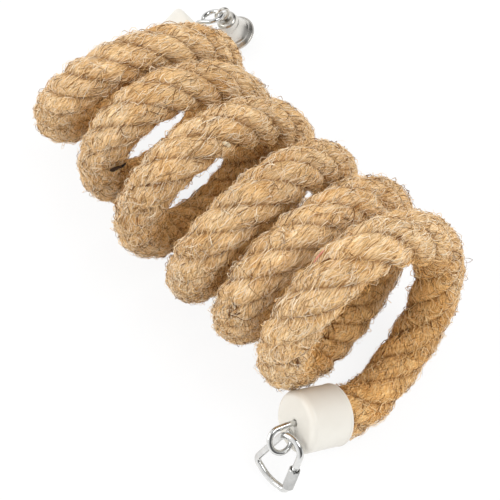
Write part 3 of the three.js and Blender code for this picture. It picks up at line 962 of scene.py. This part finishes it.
def cap_part():
    """Moulded cap with a rounded lip, a bead at its mouth and a slightly dished face with a hole."""
    outer = CAP_D / 2
    bore = ROPE_R + CLEARANCE
    hole = EYE_WIRE / 2 + CLEARANCE
    floor = CAP_LENGTH - CAP_FACE
    lip = arc((outer - CAP_LIP, CAP_LIP), CAP_LIP, -math.pi / 2, 0, 7)
    foot_rows = np.linspace(CAP_LIP, CAP_FOOT, 14)[1:]
    side_rows = np.linspace(CAP_FOOT, CAP_LENGTH - CAP_ROUND, 10)[1:-1]
    heights = np.concatenate([foot_rows, side_rows])
    bead = CAP_BEAD * smoothstep((CAP_BEAD_TOP - heights) / CAP_BEAD_FADE)
    side = np.stack([outer - CAP_BEAD + bead, heights], -1)
    face_edge = outer - CAP_BEAD - CAP_ROUND
    edge = arc((face_edge, CAP_LENGTH - CAP_ROUND), CAP_ROUND, 0, math.pi / 2, 14)
    face_r = np.linspace(face_edge, hole + CAP_HOLE_EDGE, 10)[1:]
    dish = CAP_DISH * smoothstep(1 - face_r / (outer - CAP_ROUND))
    face = np.stack([face_r, CAP_LENGTH - dish], -1)
    hole_wall = [(hole, CAP_LENGTH - CAP_HOLE_DROP), (hole, floor)]
    bore_wall = [(bore, floor), (bore, CAP_LIP)]
    bore_edge = [(bore + CAP_BORE_EDGE[0], CAP_BORE_EDGE[1]), (bore + CAP_LIP, 0.0)]
    return lathe(np.vstack([lip, side, edge, face, hole_wall, bore_wall, bore_edge]), CAP_SIDES)


def eye_frame(eye):
    """Elbow, way of the neck, normal and middle of an eye's ring, in its cap's axes."""
    neck = tipped(math.radians(eye["aside"]) + math.pi / 2, -math.radians(eye["droop"]))
    across = unit(np.cross(neck, UP))
    normal = turned(np.cross(across, neck), neck, math.radians(eye["roll"]))
    elbow = np.array([0.0, CAP_LENGTH + EYE_SHANK, 0.0])
    return elbow, neck, normal, elbow + neck * EYE_NECK


def softened(points, rounds):
    """A line with its corners cut, ends kept."""
    for _ in range(rounds):
        near = 0.75 * points[:-1] + 0.25 * points[1:]
        far = 0.25 * points[:-1] + 0.75 * points[1:]
        points = np.vstack([points[:1], np.stack([near, far], 1).reshape(-1, 3), points[-1:]])
    return points


def eye_part(eye):
    """Shank, elbow, and a ring bent from the same wire, its cut end by the neck."""
    elbow, neck, normal, centre = eye_frame(eye)
    inside = np.array([0.0, CAP_LENGTH - FITTING_STACK + ROPE_END_GAP, 0.0])
    towards = -neck
    around = np.cross(normal, towards)
    angle = np.linspace(EYE_JOIN, 2 * math.pi - EYE_CUT, EYE_RING_POINTS)[:, None]
    ring = centre + EYE_RING_R * (np.cos(angle) * towards + np.sin(angle) * around)
    line = np.vstack([inside, elbow - [0, EYE_BEND, 0], elbow, ring])
    return tube(softened(line, EYE_SOFTEN), EYE_WIRE / 2, WIRE_SIDES)


for side, eye, prefix, body in (
    (hang_end, HANG_EYE, "hang", "perch"),
    (bell_end, BELL_EYE, "bell", "bell_end"),
):
    where = end_axes(side)
    cap = make_piece(f"{prefix}_cap_moulded", *placed(cap_part(), *where), ivory)
    dress(cap, body, f"{prefix}_cap")
    wire = make_piece(f"{prefix}_eye_wire", *placed(eye_part(eye), *where), zinc)
    dress(wire, body, f"{prefix}_eye")
    for node in (f"{prefix}_washer", f"{prefix}_nut"):
        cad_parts[node].data.materials.clear()
        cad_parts[node].data.materials.append(plain_steel)


def to_world(point, where):
    """A point in a cap's axes, as a point in the frame."""
    origin, x, y, z = where
    return origin + point[0] * x + point[1] * y + point[2] * z


# Quick link and its sleeve nut
over = LINK_HALF_BASE - LINK_CORNER_R
fall = LINK_LENGTH - LINK_CORNER_R
ARM = math.atan2(fall, over) - math.pi / 2 - math.asin((LINK_CORNER_R - LINK_ARCH_R) / math.hypot(over, fall))
leg_normal = np.array([math.cos(ARM), math.sin(ARM)])
leg_top = leg_normal * LINK_ARCH_R
corner = np.array([over, fall])
leg_foot = corner + leg_normal * LINK_CORNER_R
leg_up = unit(leg_top - leg_foot)
sleeve_foot = leg_foot + leg_up * CLEARANCE


def link_part():
    """Pear of wire with a gap in one leg, threaded on both sides of the gap."""
    gap_foot = sleeve_foot + leg_up * SLEEVE_GRIP
    gap_top = gap_foot + leg_up * LINK_GAP
    mirror = np.array([-1.0, 1.0])
    t = np.linspace(0, 1, 24)[:, None]
    left = corner * mirror + [0, LINK_CORNER_R]
    low = np.array([0, LINK_LENGTH + 2 * LINK_BOW])
    right = corner + [0, LINK_CORNER_R]
    bow = (1 - t) ** 2 * left + 2 * t * (1 - t) * low + t * t * right
    line = np.vstack([
        gap_top,
        leg_top,
        arc((0, 0), LINK_ARCH_R, ARM, -math.pi - ARM, 40)[1:],
        arc(corner * mirror, LINK_CORNER_R, math.pi - ARM, math.pi / 2, 14),
        bow[1:],
        arc(corner, LINK_CORNER_R, math.pi / 2, ARM, 14)[1:],
        gap_foot,
    ])
    points, run = evenly(np.column_stack([line, np.zeros(len(line))]), THREAD_STEP)
    from_end = run[-1] - run
    from_gap = np.minimum(run, from_end + THREAD_RUN - SLEEVE_GRIP - CLEARANCE)
    cut = 0.5 - 0.5 * np.cos(2 * np.pi * run / THREAD_PITCH)
    fade = 1 - smoothstep((from_gap - THREAD_RUN + THREAD_FADE) / THREAD_FADE)
    chamfer = THREAD_CHAMFER * np.clip(1 - np.minimum(run, from_end) / THREAD_CHAMFER, 0, 1)
    keep = (from_gap < THREAD_RUN + 10 * THREAD_STEP) | (np.arange(len(run)) % PLAIN_WIRE_EVERY == 0)
    radius = LINK_WIRE / 2 - THREAD_DEPTH * cut * fade - chamfer
    return tube(points[keep], radius[keep], WIRE_SIDES)


def sleeve_part():
    """Hexagon nut with its corners turned off at both ends, over a round bore."""
    angle = round_angles(SLEEVE_SIDES)
    sixth = np.pi / 3
    hexagon = SLEEVE_FLATS / 2 / np.cos((angle + sixth / 2) % sixth - sixth / 2)
    bore = LINK_WIRE / 2 + CLEARANCE
    heights = [*SLEEVE_ROWS, SLEEVE_LENGTH / 2, *(SLEEVE_LENGTH - h for h in SLEEVE_ROWS[::-1])]
    rings = []
    for h in heights:
        from_end = min(h, SLEEVE_LENGTH - h)
        turned_off = SLEEVE_FLATS / 2 - SLEEVE_TURNED + SLEEVE_TURNED_SLOPE * from_end
        rings.append((np.minimum(hexagon, turned_off), h))
    for h in (SLEEVE_LENGTH, SLEEVE_LENGTH - SLEEVE_FLARE_DEPTH, SLEEVE_FLARE_DEPTH, 0.0):
        flare = SLEEVE_FLARE if h in (0.0, SLEEVE_LENGTH) else 0.0
        rings.append((np.full(SLEEVE_SIDES, bore + flare), h))
    verts = []
    for r, h in rings:
        verts.append(np.stack([r * np.cos(angle), r * np.sin(angle), np.full(SLEEVE_SIDES, h)], -1))
    faces = grid_faces(len(rings), SLEEVE_SIDES, True)
    along = np.array([leg_up[0], leg_up[1], 0.0])
    aside = np.array([-leg_up[1], leg_up[0], 0.0])
    foot = np.array([sleeve_foot[0], sleeve_foot[1], 0.0])
    return placed((np.vstack(verts), faces), foot, np.cross(aside, along), aside, along)


_, _, _, hang_ring = eye_frame(HANG_EYE)
down = tipped(LINK_YAW - math.pi / 2, -LINK_DIP)
link_across = unit(-np.cross(down, UP))
link_away = np.cross(link_across, down)
seat_across, seat_down, seat_away = LINK_SEAT
link_at = to_world(hang_ring, end_axes(hang_end)) + link_across * (LINK_ARCH_R + seat_across)
link_at = link_at + down * seat_down + link_away * seat_away
link_axes = (link_at, link_across, down, link_away)

link = make_piece("quick_link_wire", *placed(link_part(), *link_axes), zinc)
dress(link, "link", "quick_link")
sleeve = make_piece("sleeve_nut", *placed(sleeve_part(), *link_axes), sleeve_zinc_painted_dark, smooth=False)
dress(sleeve, "sleeve", "link_sleeve")


# Bell, its crown loop and clapper
loop_centre = -(LOOP_R + LOOP_WIRE / 2 + CLEARANCE)
hook_centre = BELL_WALL + CLEARANCE + HOOK_R + HOOK_WIRE / 2
hook_foot = hook_centre + HOOK_R


def bell_part():
    """Spun shell with a round shoulder, two raised beads and a rolled rim."""
    crown = BELL_CROWN_D / 2
    mouth = BELL_MOUTH_D / 2
    hole = LOOP_WIRE / 2 + CLEARANCE
    share = np.linspace(*BELL_FLARE_SPAN, 34)
    flare = crown + (mouth - crown) * (BELL_TAPER * share + (1 - BELL_TAPER) * share ** 3)
    bead = sum(rise * np.exp(-((share - at) / width) ** 2) for rise, at, width in BELL_BEADS)
    outside = np.stack([flare + bead, share * BELL_HEIGHT], -1)
    inside = np.stack([flare - BELL_WALL, share * BELL_HEIGHT], -1)
    inside[0, 1] += BELL_WALL
    shoulder = arc((crown - BELL_SHOULDER_IN, BELL_SHOULDER_R), BELL_SHOULDER_R, -math.pi / 2, 0, 10)
    rim = arc((mouth - BELL_RIM_R, BELL_HEIGHT - BELL_RIM_R), BELL_RIM_R, -0.6, math.pi + 0.3, 16)
    hole_wall = [(hole, BELL_WALL), (hole, 0.0)]
    ceiling = [(crown - 2 * BELL_WALL, BELL_WALL)]
    return lathe(np.vstack([hole_wall, shoulder, outside, rim, inside[::-1], ceiling]), BELL_SIDES)


def loop_part():
    """Wire ring through the eye, its stem through the crown, and the hook inside."""
    angle = round_angles(64)[:, None]
    y, z = np.array([0.0, 1.0, 0.0]), UP
    ring = np.array([0, loop_centre, 0]) + LOOP_R * (np.cos(angle) * y + np.sin(angle) * z)
    hook = np.array([0, hook_centre, 0]) + HOOK_R * (np.cos(angle[::2]) * y + np.sin(angle[::2]) * z)
    stem_top = [0, loop_centre + LOOP_R - STEM_OVERLAP, 0]
    stem_foot = [0, hook_centre - HOOK_R + STEM_OVERLAP, 0]
    stem, _ = evenly(np.array([stem_top, stem_foot]), STEM_STEP)
    swell = COLLAR_SWELL * smoothstep(1 - np.abs(stem[:, 1] - COLLAR_AT) / COLLAR_HALF)
    collar = np.where(stem[:, 1] > COLLAR_FOOT, LOOP_WIRE / 2, LOOP_WIRE / 2 * (1 + swell))
    return together(
        tube(ring, LOOP_WIRE / 2, LOOP_SIDES, closed=True),
        tube(stem, collar, LOOP_SIDES),
        tube(hook, HOOK_WIRE / 2, THIN_SIDES, closed=True),
    )


def clapper_part():
    """Ring on the hook, rod and ball."""
    angle = round_angles(32)[:, None]
    x, y = np.array([1.0, 0.0, 0.0]), np.array([0.0, 1.0, 0.0])
    ring = np.array([0, hook_foot, 0]) + CLAPPER_RING_R * (np.cos(angle) * x + np.sin(angle) * y)
    foot = np.array([0, hook_foot + CLAPPER_LENGTH, 0])
    rod, _ = evenly(np.array([[0, hook_foot + CLAPPER_RING_R - 0.1, 0], foot]), 1.0)
    return together(
        tube(ring, CLAPPER_WIRE / 2, 10, closed=True),
        tube(rod, CLAPPER_WIRE / 2, THIN_SIDES),
        ball(foot, CLAPPER_BALL_R),
    )


_, bell_neck, _, bell_ring = eye_frame(BELL_EYE)
bell_out = tipped(BELL_YAW, -BELL_DIP)
bell_aside = unit(np.cross(UP, bell_out))
bell_at = to_world(bell_ring + bell_neck * EYE_RING_R, end_axes(bell_end))
bell_at = bell_at + bell_out * (LOOP_SLACK - loop_centre)
bell_axes = (bell_at, bell_aside, bell_out, np.cross(bell_aside, bell_out))

for name, part, material, body, node, slot in (
    ("bell_body", bell_part(), bell_metal, "bell", "bell_shell", "bright_zinc"),
    ("bell_crown_loop", loop_part(), bell_metal, "bell", "bell_loop", "bright_zinc"),
    ("bell_clapper", clapper_part(), plain_steel, "striker", "clapper", "plain_steel"),
):
    dress(make_piece(name, *placed(part, *bell_axes), material), body, node)


# Floor, light and background
FLOOR_HALF = 4.0
SHADOW_SHARE = 0.14
GLOSS_WHITE = 0.25
FLOOR_GREY = (0.93, 0.93, 0.93)
WORLD_LIGHT = 0.92
DARK_SIDE = (0.70, 0.62, 0.35)
DARK_SIDE_GREYS = ((0.0, 1.0), (0.45, 1.0), (0.62, 0.55), (0.74, 0.10), (0.90, 0.10), (1.0, 0.35))
LAMP_SIZE = 0.8
LAMP_AIM = (0, 0, 0.05)
LAMPS = (("left", (-0.70, -0.85, 0.62), 6.6), ("behind", (0.50, 0.40, 1.05), 5.8))


def white_for_view(s, camera=1.0, gloss=1.0):
    """How much white a ray sees: from the camera, or in gloss and through glass."""
    path = s.node("ShaderNodeLightPath").outputs
    shiny = s.maths("MAXIMUM", path["Is Glossy Ray"], path["Is Transmission Ray"])
    direct = s.maths("MULTIPLY", path["Is Camera Ray"], camera)
    return s.maths("MAXIMUM", direct, s.maths("MULTIPLY", shiny, gloss))


def floor_material():
    """Pale floor that looks nearly white and keeps a share of the shadow."""
    s = Shader("pale_floor")
    s.tree.nodes.remove(s.bsdf)
    share = white_for_view(s, 1 - SHADOW_SHARE, GLOSS_WHITE)
    grey = s.node("ShaderNodeBsdfDiffuse", {"Color": FLOOR_GREY}).outputs[0]
    glow = s.node("ShaderNodeEmission", {"Color": WHITE}).outputs[0]
    mix = s.node("ShaderNodeMixShader", {0: share, 1: grey, 2: glow})
    s.link(mix.outputs[0], s.tree.nodes["Material Output"].inputs["Surface"])
    return s.owner


corners = np.array([[-1, -1, 0], [1, -1, 0], [1, 1, 0], [-1, 1, 0]]) * FLOOR_HALF / MM
floor = make_piece("floor", corners, [[0, 1, 2, 3]], floor_material())


def studio_world():
    """Even light all round, as in a light tent; gloss also sees its open, darker side."""
    s = Shader("studio", bpy.data.worlds)
    background = s.tree.nodes["Background"].inputs
    way = s.node("ShaderNodeTexCoord").outputs["Generated"]
    towards = s.node("ShaderNodeVectorMath", {0: way, 1: DARK_SIDE}, operation="DOT_PRODUCT").outputs["Value"]
    facing = s.node("ShaderNodeMapRange", {"Value": towards, "From Min": -1.0}).outputs["Result"]
    greys = s.ramp(facing, *((place, (grey,) * 3) for place, grey in DARK_SIDE_GREYS))
    in_gloss = s.node("ShaderNodeLightPath").outputs["Is Glossy Ray"]
    s.link(s.mix(in_gloss, WHITE, greys), background["Color"])
    s.link(s.span(white_for_view(s), WORLD_LIGHT, 1.0), background["Strength"])
    return s.owner


bpy.context.scene.world = studio_world()
for name, at, watts in LAMPS:
    lamp_data = bpy.data.lights.new(name, "AREA")
    lamp_data.shape = "DISK"
    lamp_data.size = LAMP_SIZE
    lamp_data.energy = watts
    lamp = bpy.data.objects.new(name, lamp_data)
    lamp.location = at
    lamp.rotation_euler = (Vector(LAMP_AIM) - Vector(at)).to_track_quat("-Z", "Y").to_euler()
    bpy.context.scene.collection.objects.link(lamp)

bpy.context.scene.view_settings.view_transform = "Standard"
